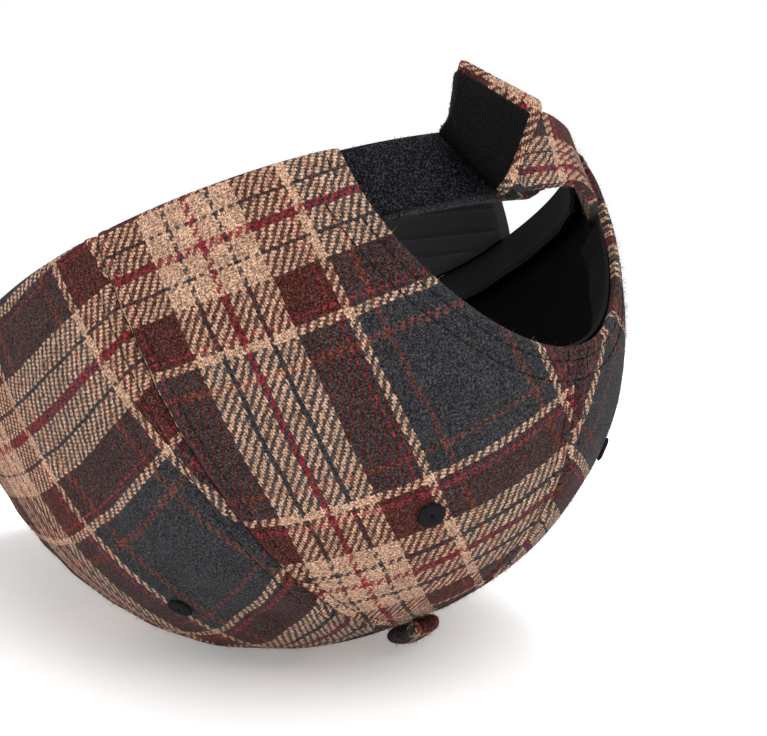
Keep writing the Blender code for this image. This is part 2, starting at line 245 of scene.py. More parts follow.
TURN_OVER = cap_turn()
UP = TURN_OVER.T @ np.array((0.0, 0.0, 1.0))


def unit(vectors):
    length = np.linalg.norm(vectors, axis=-1, keepdims=True)
    return vectors / np.maximum(length, 1e-12)


def mix(low, high, share):
    return low + (high - low) * share


def within(value, span=1.0):
    """Value as a share of a span, held between 0 and 1."""
    return np.clip(value / span, 0, 1)


def hump(distance, middle, half):
    """A bell-shaped bump across a distance."""
    return np.exp(-(((distance - middle) / half) ** 2))


def relief_of(rows, distance):
    """Height of some ridges and furrows at a distance from their line."""
    return sum(height * MM * hump(distance, middle * MM, half * MM) for height, middle, half in rows)


def between(spots, places, rows):
    """Rows of points, read off column by column at some spots between their places."""
    return np.stack([np.interp(spots, places, column) for column in rows.T], axis=-1)


def rim_height(turn):
    side = np.clip((np.abs(turn) - RIM_DIP_START) / (math.pi - RIM_DIP_START), 0, None)
    dip = RIM_SIDE_DIP * np.sin(math.pi * side) ** 2
    return RIM_BACK_RISE * (1 + np.cos(turn)) / 2 + RIM_WAVE * np.cos(2 * turn) - dip


RIM_TURNS = np.linspace(-TAU, TAU, 4001)
RIM_SPEED = np.hypot(HALF_WIDTH * np.cos(RIM_TURNS), HALF_LENGTH * np.sin(RIM_TURNS))
RIM_STEPS = (RIM_SPEED[1:] + RIM_SPEED[:-1]) / 2 * np.diff(RIM_TURNS)
RIM_LENGTHS = np.concatenate([[0], np.cumsum(RIM_STEPS)])
RIM_LENGTHS -= np.interp(0, RIM_TURNS, RIM_LENGTHS)


def length_at(turn):
    """Length round the rim from the back centre."""
    return np.interp(turn, RIM_TURNS, RIM_LENGTHS)


def turn_at(length):
    return np.interp(length, RIM_LENGTHS, RIM_TURNS)


def climb_at(height):
    """Share of the climb from the rim to the top, at a height."""
    return np.arcsin(within(np.asarray(height), CROWN_HEIGHT) ** (ROUNDNESS / 2)) * 2 / math.pi


def ring_share(climb):
    return np.clip(np.cos(climb * math.pi / 2), 0, None) ** (2 / ROUNDNESS)


def rise_share(climb):
    return np.clip(np.sin(climb * math.pi / 2), 0, None) ** (2 / ROUNDNESS)


def plain_crown(turn, climb):
    """Points of the outer face before its dents."""
    ring = ring_share(climb)
    rise = rise_share(climb)
    across = HALF_WIDTH * np.sin(turn) * ring
    along = -HALF_LENGTH * np.cos(turn) * ring - TOP_BACK_LEAN * rise**2
    return np.stack([across, along, CROWN_HEIGHT * rise + (1 - rise) * rim_height(turn)], axis=-1)


def normal_of(surface, u, v, step=0.004):
    along = surface(u + step, v) - surface(u - step, v)
    across = surface(u, np.minimum(v + step, 1)) - surface(u, np.maximum(v - step, 0))
    direction = np.cross(along, across)
    length = np.linalg.norm(direction, axis=-1, keepdims=True)
    return np.where(length > 1e-12, direction / np.maximum(length, 1e-12), np.array((0.0, 0.0, 1.0)))


def dent_depth(turn, climb):
    depth = 0
    for middle, half_turn, height, half_climb, share in DENTS:
        away = (np.degrees(turn) - middle + 180) % 360 - 180
        bell = np.exp(-((away / half_turn) ** 2) - ((climb - height) / half_climb) ** 2)
        depth = depth + CROWN_HEIGHT * share * bell
    return depth * (1 - climb**8)


def lowest_point():
    turns, climbs = np.meshgrid(np.radians(np.arange(-180, 180, 3)), np.arange(61) / 60)
    return float((plain_crown(turns, climbs) @ UP).min())


FLOOR = lowest_point() + PRESSED
PLACE = np.array((FRAME_X, FRAME_Y, -FLOOR))


def settled(points):
    """Points pressed flat where they would go below the floor."""
    height = points @ UP - FLOOR
    soft = np.clip(height + PRESS_BLEND, 0, None) ** 2 / (4 * PRESS_BLEND)
    lifted = np.where(height >= PRESS_BLEND, height, np.where(height <= -PRESS_BLEND, 0, soft))
    return points + (lifted - height)[..., None] * UP


def crown(turn, climb, relief=0.0):
    """Points of the outer face as it lies. The relief stands out of it."""
    outward = normal_of(plain_crown, turn, climb)
    return settled(plain_crown(turn, climb) + outward * (relief - dent_depth(turn, climb))[..., None])


def under_crown(turn, climb, depth):
    sunk = np.broadcast_to(depth, np.shape(turn))[..., None]
    return crown(turn, climb) - normal_of(crown, turn, climb) * sunk


OPENING_TURN = float(turn_at(OPENING_HALF_WIDTH))
HALF_RIM = float(length_at(math.pi))
SEAM_LENGTHS = [HALF_RIM * i / 3 for i in range(4)]
TOP_CLIMB = math.acos((TOP_HOLE_RADIUS / HALF_WIDTH) ** (ROUNDNESS / 2)) * 2 / math.pi


def opening_height(turn, margin=0.0):
    half_turn = OPENING_TURN + margin / HALF_WIDTH
    return (OPENING_HEIGHT + margin) * np.sqrt(np.clip(1 - (turn / half_turn) ** 2, 0, None))


def above_floor(points):
    points[..., 2] = np.maximum(points[..., 2], 0)
    return points


def to_world(points):
    return above_floor(points @ TURN_OVER.T + PLACE)


# Making a piece


def settings():
    return bpy.context.scene.wool_cap


def read(items, name, width, kind=float):
    """One value of every item as an array, such as every point's place."""
    values = np.empty(len(items) * width, kind)
    items.foreach_get(name, values)
    return values.reshape(-1, width) if width > 1 else values


def write(items, name, values):
    items.foreach_set(name, values.astype(np.float32).ravel())


def lay_cloth(mesh, spots):
    """Gives each corner the cloth place of its point."""
    layer = mesh.uv_layers.active or mesh.uv_layers.new()
    layer.name = "cloth"
    write(layer.data, "uv", spots[read(mesh.loops, "vertex_index", 1, np.int32)])


def only(piece):
    """Selects this piece alone."""
    bpy.ops.object.select_all(action="DESELECT")
    piece.select_set(True)
    bpy.context.view_layer.objects.active = piece


def primitive(add, **shape):
    """Adds a primitive with nothing else selected."""
    bpy.ops.object.select_all(action="DESELECT")
    add(**shape)
    return bpy.context.object


def finished(piece, name, finish, *nodes):
    """Names a piece, gives it its finish, ties it to the frame and hides the solids that it replaces."""
    material, slot = finish
    piece.name = name
    piece.data.name = name
    piece.data.materials.clear()
    piece.data.materials.append(material)
    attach(piece, "root")
    if nodes:
        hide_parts(*nodes)
    return piece


def joined(name, points, faces, finish):
    """One piece of many small shapes."""
    mesh = bpy.data.meshes.new(name)
    mesh.from_pydata(points.reshape(-1, 3).tolist(), [], faces)
    mesh.update()
    piece = bpy.data.objects.new(name, mesh)
    bpy.context.scene.collection.objects.link(piece)
    return finished(piece, name, finish)


def cloth(name, node, grid, place, lay, thickness, finish, side=-1, closed=False):
    """A sheet from a grid: place gives its points, lay its cloth places in metres, a wall its thickness."""
    columns, rows = grid
    piece = primitive(bpy.ops.mesh.primitive_grid_add, x_subdivisions=columns, y_subdivisions=rows, size=1)
    mesh = piece.data
    u, v = np.clip(read(mesh.vertices, "co", 3)[:, :2] + 0.5, 0, 1).T
    write(mesh.vertices, "co", to_world(place(u, v)))
    lay_cloth(mesh, np.stack(lay(u, v), axis=-1))
    mesh.update()
    only(piece)
    if closed:
        bpy.ops.object.mode_set(mode="EDIT")
        bpy.ops.mesh.select_all(action="SELECT")
        bpy.ops.mesh.remove_doubles(threshold=1e-6)
        bpy.ops.object.mode_set(mode="OBJECT")
    wall = piece.modifiers.new("wall", "SOLIDIFY")
    wall.thickness = thickness
    wall.offset = side
    bpy.ops.object.modifier_apply(modifier=wall.name)
    bpy.ops.object.shade_smooth_by_angle(angle=math.radians(60))
    return finished(piece, name, finish, node)


def evenly(width, length):
    """Lays cloth evenly over a piece that is so wide and so long."""
    return lambda u, v: (u * width, v * length)


def crowded(share, amount=0.11):
    """Moves columns towards both ends."""
    return share - amount * np.sin(TAU * share)


# Crown panels

# Name, number from the back centre, and hand
PANELS = (
    ("back_right", 0, 1),
    ("side_right", 1, 1),
    ("front_right", 2, 1),
    ("back_left", 0, -1),
    ("side_left", 1, -1),
    ("front_left", 2, -1),
)


def seam_distance(turn, climb):
    """Distance along the cloth to the nearest seam, and the number of that seam."""
    round_rim = np.abs(length_at(turn))
    near = np.stack([np.abs(round_rim - seam) for seam in SEAM_LENGTHS], axis=-1)
    return near.min(axis=-1) * ring_share(climb), near.argmin(axis=-1)


def edge_distance(turn, climb):
    """Distance outside the half-moon's edge, near enough."""
    height = rise_share(climb) * CROWN_HEIGHT
    out = np.sqrt((turn / OPENING_TURN) ** 2 + (height / OPENING_HEIGHT) ** 2) - 1
    return out * mix(OPENING_HALF_WIDTH, OPENING_HEIGHT, within(height, OPENING_HEIGHT))


def waves(turn, climb):
    """Soft, slow unevenness of the cloth, between -1 and 1."""
    x = np.sin(turn) * 3.1
    y = np.cos(turn) * 2.7
    z = climb * 5.3
    return (
        np.sin(2.1 * x + 1.3 * z + 0.4) * np.cos(1.7 * y - 2.2 * z)
        + 0.6 * np.sin(3.9 * y + 2.9 * z + 1.1) * np.cos(3.1 * x + 0.7)
        + 0.4 * np.sin(6.3 * z - 4.1 * x + 2.0) * np.cos(5.2 * y + 1.9 * z)
    ) / 2


def crown_relief(turn, climb):
    """Seams, hems and slow waves of the wool."""
    seam, number = seam_distance(turn, climb)
    height = rise_share(climb) * CROWN_HEIGHT
    edge = edge_distance(turn, climb)
    pucker = np.sin(height / (7.5 * MM) * TAU * 0.8 + number * 2.1 + np.sign(turn) * 0.8)
    relief = waves(turn, climb) * 0.45 * MM * np.clip(height / (12 * MM), 0.3, 1)
    relief = relief + relief_of(SEAM_RELIEF, seam) + 0.16 * MM * pucker * np.exp(-seam / (6 * MM))
    relief = relief + np.where(edge > -1 * MM, relief_of(HEM_RELIEF, edge), 0)
    return relief + relief_of(RIM_RELIEF, height)


class Meridian:
    """Arc lengths up the middle of a panel, and how its parallels bend."""

    def __init__(self, turn):
        self.turn = turn
        self.climbs = np.linspace(0, 1, 300)
        middle, left, right = (plain_crown(np.full(300, turn + off), self.climbs) for off in (0, -0.01, 0.01))
        self.lengths = np.concatenate([[0], np.cumsum(np.linalg.norm(np.diff(middle, axis=0), axis=1))])
        ring = np.maximum(np.linalg.norm(right - left, axis=1) / 0.02, 1e-6)
        self.bend = np.clip(-np.gradient(ring, self.lengths) / ring, 0, 60)

    def flat(self, turn, climb):
        """Distances round and up on the flat cloth."""
        x = (length_at(turn) - length_at(self.turn)) * ring_share(climb)
        up = np.interp(climb, self.climbs, self.lengths)
        return x, up + np.interp(climb, self.climbs, self.bend) * x * x / 2


def cloth_places(panel, turn, climb, middle):
    x, y = (value / LAY_UNIT for value in middle.flat(turn, climb))
    terms = np.stack([np.ones_like(x), x, y, x * x, x * y, y * y, x * x * y, x * y * y], axis=-1)
    return [terms[:, : len(shares)] @ np.array(shares) * MM for shares in CLOTH_LAY[panel]]


def panel_grid(start, end, hand, u, v):
    """Turn and climb of a panel's grid points."""
    across = crowded(u if hand > 0 else 1 - u)
    round_rim = mix(turn_at(start), turn_at(end), across)
    low = round_rim
    foot = 0
    if start == 0:
        split = 0.55
        inside = OPENING_TURN * np.sin(within(across, split) * math.pi / 2)
        beside = mix(OPENING_TURN, turn_at(end), (across - split) / (1 - split))
        low = np.where(across < split, inside, beside)
        foot = climb_at(opening_height(low))
    up = v**1.6 * 0.6 + v * 0.4
    turn = mix(low, round_rim, up)
    climb = mix(foot, TOP_CLIMB, up)
    gap = SEAM_GAP / 2 / (np.interp(turn, RIM_TURNS, RIM_SPEED) * ring_share(climb))
    return hand * (turn + gap * (1 - 2 * across)), climb


class CAP_OT_panels(bpy.types.Operator):
    """Sews the six wool panels of the crown"""

    bl_idname = "wool_cap.panels"
    bl_label = "Crown Panels"

    def execute(self, context):
        for panel, i, hand in PANELS:
            self.panel(panel, SEAM_LENGTHS[i], SEAM_LENGTHS[i + 1], hand)
        return {"FINISHED"}

    def panel(self, panel, start, end, hand):
        middle = Meridian(hand * turn_at((start + end) / 2))

        def place(u, v):
            turn, climb = panel_grid(start, end, hand, u, v)
            return crown(turn, climb, crown_relief(turn, climb))

        def lay(u, v):
            turn, climb = panel_grid(start, end, hand, u, v)
            return cloth_places(panel, turn, climb, middle)

        cloth(f"panel_{panel}", f"crown_{panel}", (66, 110), place, lay, PANEL_WALL, plaid_wool())


# Inside


class CAP_OT_inside(bpy.types.Operator):
    """Lines the crown, and adds the sweatband and the tape round the half-moon"""

    bl_idname = "wool_cap.inside"
    bl_label = "Lining and Bands"

    def execute(self, context):
        self.lining()
        self.sweatband()
        self.opening_tape()
        return {"FINISHED"}

    def lining(self):
        depth = PANEL_WALL + LINING_GAP
        margin = TAPE_WIDTH + LAYER_GAP
        beside_tape = OPENING_TURN + margin / HALF_WIDTH
        split = 0.3

        def place(u, v):
            across = np.abs(2 * u - 1)
            near = beside_tape * np.sin(within(across, split) * math.pi / 2)
            far = mix(beside_tape, math.pi, (across - split) / (1 - split))
            turn = np.where(across < split, near, far)
            low = climb_at(np.maximum(LINING_START, opening_height(turn, margin)))
            climb = mix(low, 1, v)
            turn = np.copysign(turn, u - 0.5)
            slack = (waves(turn * 1.7 + 0.5, climb) + 1) * 0.35 * MM * np.clip((1 - climb) * 8, 0, 1)
            return under_crown(turn, climb, depth + slack)

        lay = evenly(TAU * HALF_WIDTH, LINING_RISE)
        cloth("lining_cloth", "lining", (150, 60), place, lay, LINING_THICKNESS, black_twill(), closed=True)

    def sweatband(self):
        start = float(turn_at(OPENING_HALF_WIDTH + BAND_CLEARANCE))

        def place(u, v):
            turn = mix(start, TAU - start, u)
            turn = np.where(turn > math.pi, turn - TAU, turn)
            wave = 0.3 * MM * np.sin(turn * 23) * v * v
            lip = 0.35 * MM * hump(v, 0.85, 0.06)
            depth = PANEL_WALL + LAYER_GAP + BAND_LEAN * v + wave + 0.2 * MM + lip
            return under_crown(turn, climb_at(LAYER_GAP + BAND_WIDTH * v), depth)

        lay = evenly((TAU - 2 * start) * HALF_WIDTH, BAND_WIDTH)
        cloth("sweatband_tape", "sweatband", (300, 14), place, lay, BAND_THICKNESS, ribbed_tape())

    def opening_tape(self):
        first = math.asin(TAPE_START / OPENING_HEIGHT)

        def place(u, v):
            angle = mix(first, math.pi - first, u)
            turn = -(OPENING_TURN + v * TAPE_WIDTH / HALF_WIDTH) * np.cos(angle)
            height = (OPENING_HEIGHT + LAYER_GAP + v * TAPE_WIDTH) * np.sin(angle)
            wave = 0.3 * MM * np.sin(angle * 21) * v
            return under_crown(turn, climb_at(height), PANEL_WALL + LAYER_GAP + TAPE_LEAN * v + wave)

        lay = evenly(TAPE_RUN, TAPE_WIDTH)
        cloth("half_moon_tape", "opening_tape", (110, 12), place, lay, TAPE_THICKNESS, ribbed_tape())


# Peak


def curve_through(rows, share, column):
    """A smooth curve through a table's column against its first column."""
    x = np.array([row[0] for row in rows])
    y = np.array([row[column] for row in rows])
    slope = np.empty_like(y)
    slope[1:-1] = (y[2:] - y[:-2]) / (x[2:] - x[:-2])
    slope[0] = (y[1] - y[0]) / (x[1] - x[0])
    slope[-1] = (y[-1] - y[-2]) / (x[-1] - x[-2])
    i = np.clip(np.searchsorted(x, share, side="right") - 1, 0, len(x) - 2)
    span = x[i + 1] - x[i]
    t = within(share - x[i], span)
    return (
        (2 * t**3 - 3 * t**2 + 1) * y[i]
        + (t**3 - 2 * t**2 + t) * slope[i] * span
        + (3 * t**2 - 2 * t**3) * y[i + 1]
        + (t**3 - t**2) * slope[i + 1] * span
    )


def rim_frame(turn):
    """Points on the rim's ellipse, and which way is outward there."""
    flat = np.zeros_like(turn)
    outward = unit(np.stack([HALF_LENGTH * np.sin(turn), -HALF_WIDTH * np.cos(turn), flat], axis=-1))
    return np.stack([HALF_WIDTH * np.sin(turn), -HALF_LENGTH * np.cos(turn), flat], axis=-1), outward


def peak_reach(u):
    """Reach and drop of the peak's edge."""
    share = np.abs(2 * u - 1)
    return [PEAK_LENGTH * curve_through(PEAK_EDGE, share, column) for column in (1, 2)]


def peak_face(u, v):
    turn = math.pi + (1 - 2 * u) * np.where(u < 0.5, PEAK_SWEEP_LEFT, PEAK_SWEEP_RIGHT)
    rim, outward = rim_frame(turn)
    reach, drop = peak_reach(u)
    level = rim_height(math.pi - np.abs(turn - math.pi)) - PEAK_GAP
    point = rim + outward * (reach * v)[..., None]
    point[..., 2] += level - drop * mix(v, v * v, PEAK_DROP_CURVE)
    return point


def peak_rows(u, v):
    """Depth of the stitched rows of the peak, which follow its outer edge."""
    out = np.hypot(*peak_reach(u)) * (1 - v)
    row = np.abs((out - PEAK_ROW_START + PEAK_ROW_SPACING / 2) % PEAK_ROW_SPACING - PEAK_ROW_SPACING / 2)
    return PEAK_ROW_DEPTH * hump(row, 0, 0.7 * MM)


def peak_grid(u, v):
    """Crowds the peak's grid towards its ends and its outer edge."""
    return crowded(u, 0.06), 1 - (1 - v) ** 1.4


class CAP_OT_peak(bpy.types.Operator):
    """Covers the peak with wool above and black twill below"""

    bl_idname = "wool_cap.peak"
    bl_label = "Peak"

    def execute(self, context):
        self.cover()
        self.underside()
        return {"FINISHED"}

    def cover(self):
        def place(u, v):
            u, v = peak_grid(u, v)
            normal = normal_of(peak_face, np.clip(u, 0.004, 0.996), v)
            round_off = 0.72 * MM * (hump(v, 1, 0.018) + hump(np.minimum(u, 1 - u), 0, 0.004))
            return peak_face(u, v) - normal * (peak_rows(u, v) + round_off)[..., None]

        def lay(u, v):
            point = peak_face(*peak_grid(u, v))
            return point[..., 0] * 1.02 + 12 * MM, point[..., 1] - point[..., 2] * 0.35

        cloth("peak_cover", "peak", (170, 46), place, lay, PEAK_THICKNESS, plaid_wool())

    def underside(self):
        """The lining lies under the peak and folds up over its ends, its root and its front edge."""
        depth = PEAK_THICKNESS + PEAK_GAP + 0.25 * MM
        end, root, front = 0.02, 0.07, 0.9
        lap = 0.4 * MM

        def place(u, v):
            low, high = within(end - u, end), within(u - 1 + end, end)
            back, ahead = within(root - v, root), within(v - front, 1 - front)
            past = np.max([low, high, back, ahead], axis=0)
            u, v = peak_grid(within(u - end, 1 - 2 * end), within(v - root, front - root))
            inner = np.clip(u, 0.004, 0.996)
            normal = normal_of(peak_face, inner, v)
            sideways = unit(peak_face(inner + 0.004, v) - peak_face(inner - 0.004, v))
            sideways = sideways * (np.sign(high) - np.sign(low))[..., None]
            forward = unit(peak_face(inner, v + 0.01) - peak_face(inner, v))
            forward = forward * (np.sign(ahead) - 3 * np.sign(back))[..., None]
            top = np.where(back > 0, -0.9 * MM, 0.5 * MM)
            sunk = mix(depth - peak_rows(u, v) * (past <= 0), top, past)
            return peak_face(u, v) - normal * sunk[..., None] + (sideways + forward) * lap

        lay = evenly(PEAK_RUN, PEAK_LENGTH)
        cloth("peak_lining", "peak_underside", (170, 46), place, lay, UNDERSIDE_THICKNESS, underside_twill())


# Straps

LOOP_STRAP_START = float(turn_at(OPENING_HALF_WIDTH + STRAP_ROOT))
LOOP_STRAP_END = -float(turn_at(STRAP_REACH_PAST_CENTRE))


def loop_strap_spot(u, v):
    """Turn and height of a point of the loop strap, whose free end is round."""
    turn = mix(LOOP_STRAP_END, LOOP_STRAP_START, u)
    from_end = within((turn - LOOP_STRAP_END) * HALF_WIDTH, STRAP_WIDTH / 2)
    half = np.sqrt(np.maximum(1 - (1 - from_end) ** 2, 0.02))
    return turn, STRAP_WIDTH * (0.5 + (v - 0.5) * half) + LAYER_GAP


def hook_strap_face(u, v):
    """The middle of the hook strap: u runs along it and v across it."""
    u = np.clip(u, 0, 1)
    rows = [(i / (len(HOOK_FOLDS) - 1), *row) for i, row in enumerate(HOOK_FOLDS)]
    edges = []
    for first in (1, 4):
        turn, out, rise = (curve_through(rows, u, first + i) for i in range(3))
        turn = np.radians(turn)
        rim, outward = rim_frame(turn)
        edge = rim + outward * (STRAP_WIDTH * out)[..., None]
        edge[..., 2] += rim_height(turn) + STRAP_WIDTH * rise
        edges.append(edge)
    past = within(u - ROUND_END, 1 - ROUND_END)
    v = 0.5 + (np.asarray(v) - 0.5) * (1 - ROUND_END_NARROWING * (1 - np.sqrt(1 - past**2)))
    return edges[0] + (edges[1] - edges[0]) * v[..., None]


def edge_roll(u, v, width):
    """1 at a strap's long edges and its free end, and 0 a little inside them."""
    return np.maximum(hump(np.minimum(v, 1 - v), 0, width), hump(u, 1, width * 0.4))


class CAP_OT_straps(bpy.types.Operator):
    """Makes the loop strap and the folded hook strap with their pads"""

    bl_idname = "wool_cap.straps"
    bl_label = "Straps"

    def execute(self, context):
        self.loop_strap()
        self.loop_pad()
        self.hook_strap()
        self.hook_pad()
        return {"FINISHED"}

    def loop_strap(self):
        depth = PANEL_WALL + LAYER_GAP + LOOP_PAD_THICKNESS + LAYER_GAP - 0.2 * MM

        def place(u, v):
            turn, height = loop_strap_spot(u**1.5, v)
            return under_crown(turn, climb_at(height), depth)

        def lay(u, v):
            return 0.072 - u * 0.052, 0.017 + v * STRAP_WIDTH

        cloth("loop_strap_cloth", "loop_strap", (90, 24), place, lay, LOOP_STRAP_THICKNESS, plaid_wool())

    def loop_pad(self):
        inset = LOOP_PAD_INSET / STRAP_WIDTH
        end = LOOP_STRAP_END + 3 * LOOP_PAD_INSET / HALF_WIDTH

        def place(u, v):
            turn = mix(end, LOOP_STRAP_START, u)
            height = STRAP_WIDTH * mix(-inset * 0.3, 1 - inset, v) + LAYER_GAP
            bulge = 0.35 * MM * np.sin(math.pi * v) ** 0.5
            return under_crown(turn, climb_at(height), PANEL_WALL + LAYER_GAP - bulge + 0.3 * MM)

        lay = evenly(LOOP_PAD_RUN, STRAP_WIDTH)
        piece = cloth("loop_pile", "loop_pad", (90, 26), place, lay, LOOP_PAD_THICKNESS, loop_pile())
        add_pile(piece, "loop_pile_loops", loop_pile(), 5200, 0.9 * MM, 11)

    def hook_strap(self):
        def place(u, v):
            u = mix(STRAP_SHOWS_FROM, 1, u)
            normal = normal_of(hook_strap_face, u, v)
            crumple = 0.35 * MM * np.sin(u * 41 + v * 3) * hump(u, 0.5, 0.25)
            crumple = crumple + 1.0 * MM * np.sin(u * 75 - v * 5) * hump(u, 0.7, 0.06)
            relief = crumple - 0.1 * MM * edge_roll(u, v, 0.06)
            return hook_strap_face(u, v) + normal * relief[..., None]

        def lay(u, v):
            """The plaid turns back near the root, so that the dark stripes lie there."""
            back = 1 - mix(STRAP_SHOWS_FROM, 1, u)
            along = 0.0085 + 0.07 * np.minimum(back, 0.75) - 0.084 * np.maximum(back - 0.75, 0)
            return along, (v - 0.2) * STRAP_WIDTH * 1.4

        wool = plaid_wool()
        cloth("hook_strap_cloth", "hook_strap", (150, 30), place, lay, HOOK_STRAP_THICKNESS, wool, side=0)

    def hook_pad(self):
        hem = 0.75 * HOOK_BORDER / STRAP_WIDTH
        front = HOOK_STRAP_THICKNESS / 2 + LAYER_GAP + HOOK_PAD_THICKNESS
        back = HOOK_STRAP_THICKNESS / 2 + 0.1 * MM
        fold = 0.86

        def place(u, v):
            """The pad reaches from below the fold to the end's hem, and round the tab's near edge."""
            past = within(v - fold, 1 - fold)
            spot = mix(*PAD_SPAN, u)
            across = mix(hem, 1, within(v, fold))
            bulge = 0.25 * MM * (np.sin(math.pi * u) * np.sin(math.pi * v)) ** 0.3 - 0.25 * MM
            normal = normal_of(hook_strap_face, spot, across)
            sideways = unit(hook_strap_face(spot, np.ones_like(u)) - hook_strap_face(spot, np.zeros_like(u)))
            out = 0.7 * MM * np.sin(math.pi / 2 * within(past * 2))
            sunk = mix(front + bulge, -back, past)
            return hook_strap_face(spot, across) + normal * sunk[..., None] + sideways * out[..., None]

        lay = evenly(HOOK_PAD_RUN, HOOK_PAD_WIDTH)
        piece = cloth("hook_pile", "hook_pad", (40, 36), place, lay, HOOK_PAD_THICKNESS, hook_pile())
        add_pile(piece, "hook_pile_hooks", hook_pile(), 2600, 0.5 * MM, 12)


# Button and eyelets


class CAP_OT_button(bpy.types.Operator):
    """Covers the top button"""

    bl_idname = "wool_cap.button"
    bl_label = "Button"

    def execute(self, context):
        piece = primitive(bpy.ops.mesh.primitive_uv_sphere_add, segments=64, ring_count=40, radius=1)
        mesh = piece.data
        x, y, height = read(mesh.vertices, "co", 3).T
        angle = np.arctan2(y, x)
        dome = BUTTON_EDGE + np.where(height > 0, BUTTON_HEIGHT - BUTTON_EDGE, BUTTON_EDGE) * height
        slow = 0.25 * MM * np.sin(x * 4.1 + 0.6) * np.cos(y * 3.7)
        pleat = 0.16 * MM * np.cos(angle * 9 + 0.7) * hump(height, -0.25, 0.35)
        radius = np.hypot(x, y) ** np.where(height < 0, 0.45, 0.9) * BUTTON_RADIUS * 0.97 + pleat
        level = np.clip(dome, 0.05 * MM, None) + slow * (height > 0.2)
        shaped = np.stack([np.cos(angle) * radius, np.sin(angle) * radius, level], axis=-1)
        lay_cloth(mesh, shaped[:, :2] * 1.3 + BUTTON_CLOTH)
        top = crown(np.array([0.0]), np.array([1.0]))[0] + np.array((0, 0, BUTTON_LIFT))
        write(mesh.vertices, "co", to_world(shaped + top))
        mesh.update()
        only(piece)
        bpy.ops.object.shade_smooth()
        finished(piece, "button_cover", plaid_wool(), "button")
        return {"FINISHED"}


class CAP_OT_eyelets(bpy.types.Operator):
    """Stitches an air hole on the middle of each panel"""

    bl_idname = "wool_cap.eyelets"
    bl_label = "Eyelets"

    def execute(self, context):
        climb = np.array([float(climb_at(EYELET_HEIGHT))])
        for number, (_, i, hand) in enumerate(PANELS, 1):
            turn = np.array([hand * float(turn_at(HALF_RIM * (i + 0.5) / 3))])
            self.eyelet(number, crown(turn, climb)[0], normal_of(crown, turn, climb)[0])
        return {"FINISHED"}

    def eyelet(self, number, spot, outward):
        piece = primitive(
            bpy.ops.mesh.primitive_torus_add,
            major_segments=96,
            minor_segments=14,
            major_radius=EYELET_RADIUS,
            minor_radius=EYELET_CORD_RADIUS,
        )
        mesh = piece.data
        points = read(mesh.vertices, "co", 3)
        angle = np.arctan2(points[:, 1], points[:, 0])
        out = np.hypot(points[:, 0], points[:, 1])
        threads = EYELET_THREAD_RELIEF * np.sin(angle * EYELET_THREADS + out / MM * 1.5)
        points = points + unit(points) * threads[:, None]
        points[:, 2] *= EYELET_FLATNESS
        turned = np.array(Vector(outward).to_track_quat("Z", "Y").to_matrix())
        write(mesh.vertices, "co", to_world(points @ turned.T + spot + outward * EYELET_STAND_OUT))
        mesh.update()
        only(piece)
        bpy.ops.object.shade_smooth()
        finished(piece, f"eyelet_ring_{number}", black_thread(), f"eyelet_{number}")


# Stitches and nap


def joined_copies(name, shape, faces, spots, along, outward, finish):
    """One mesh of many copies of a small shape. Its X lies along and its Z outward at each spot."""
    side = unit(np.cross(outward, along))
    along = unit(along)
    axes = np.stack([along, side, np.cross(along, side)], axis=1)
    points = spots[:, None, :] + np.einsum("pa,sad->spd", shape, axes)
    shifted = [[index + i * len(shape) for index in face] for i in range(len(spots)) for face in faces]
    joined(name, to_world(points), shifted, finish).data.shade_smooth()


def stitch_shape(length, radius):
    """A low-poly thread float with tucked ends: its points and faces."""
    rings = ((-0.5, 0.35, -0.9), (-0.36, 0.95, -0.1), (0.0, 1.0, 0.15), (0.36, 0.95, -0.1), (0.5, 0.35, -0.9))
    points = []
    for x, size, lift in rings:
        for i in range(6):
            angle = TAU * i / 6
            y, z = math.cos(angle) * size, math.sin(angle) * size + lift
            points.append((x * length, y * radius, z * radius))
    faces = []
    for ring in range(len(rings) - 1):
        for i in range(6):
            low, high = ring * 6 + i, ring * 6 + (i + 1) % 6
            faces.append((low, low + 6, high + 6, high))
    faces.append(tuple(range(6)))
    faces.append(tuple(reversed(range(24, 30))))
    return np.array(points), faces


def spaced(path, pitch):
    """Points, directions and shares of the length, every pitch along a path of points."""
    lengths = np.concatenate([[0], np.cumsum(np.linalg.norm(np.diff(path, axis=0), axis=1))])
    spots = np.arange(pitch * 0.5, lengths[-1], pitch)
    points, ahead, behind = (between(spots + off, lengths, path) for off in (0, 0.2 * MM, -0.2 * MM))
    return points, ahead - behind, spots / lengths[-1]


